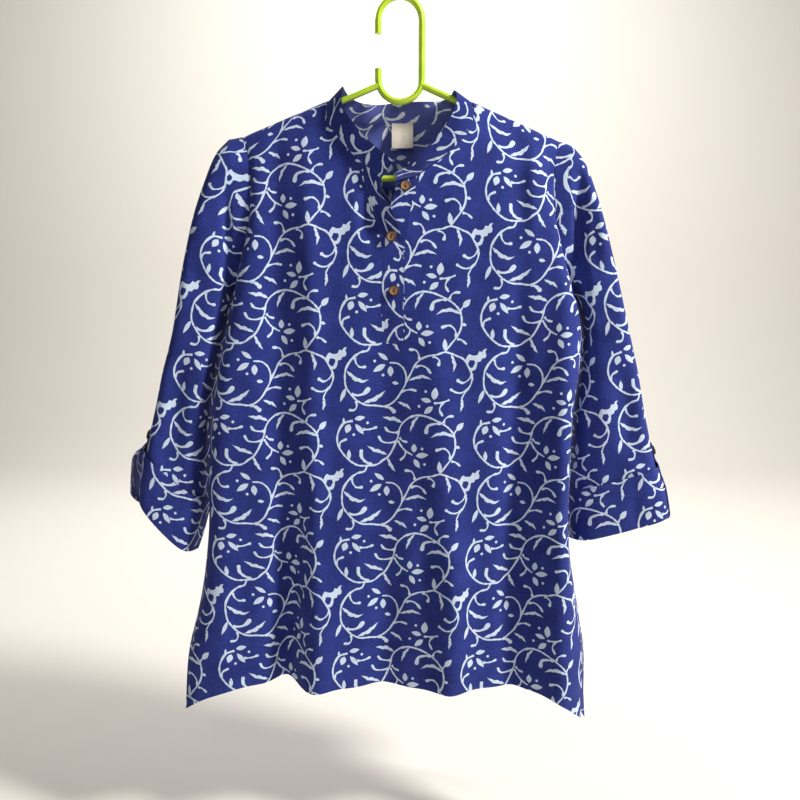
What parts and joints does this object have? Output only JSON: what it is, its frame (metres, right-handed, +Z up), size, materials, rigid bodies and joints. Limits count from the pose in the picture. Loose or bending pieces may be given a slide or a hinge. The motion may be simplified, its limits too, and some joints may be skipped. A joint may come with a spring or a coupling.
{
  "type": "kurta tunic on a hanger",
  "caption": "Printed cotton kurta tunic with a band collar, part-open buttoned placket and turned-up sleeves, hanging on a plain tubular hanger.",
  "frame": {"origin": "inside top of the hanger's hook, where a rail touches it", "axes": "+X to the viewer's right (the wearer's left), +Y from the front of the garment to its back, +Z up"},
  "size_m": [0.6799, 0.111, 0.9121],
  "materials": {
    "cotton": "matte plain-weave cotton, royal blue ground with a pale mint-grey vine print",
    "hanger": "smooth glossy lime-green moulded tube",
    "button": "turned coconut wood, satin",
    "label": "matte woven tape, blank"
  },
  "bodies": {
    "root": {"hanger": "hanger", "front": "cotton", "back": "cotton", "sleeve_right": "cotton", "sleeve_left": "cotton", "cuff_right": "cotton", "cuff_left": "cotton", "tab_right": "cotton", "tab_left": "cotton", "collar": "cotton", "placket_over": "cotton", "placket_under": "cotton", "label": "label", "button_1": "button", "button_2": "button", "button_3": "button", "tab_button_right": "button", "tab_button_left": "button"}
  },
  "joints": []
}
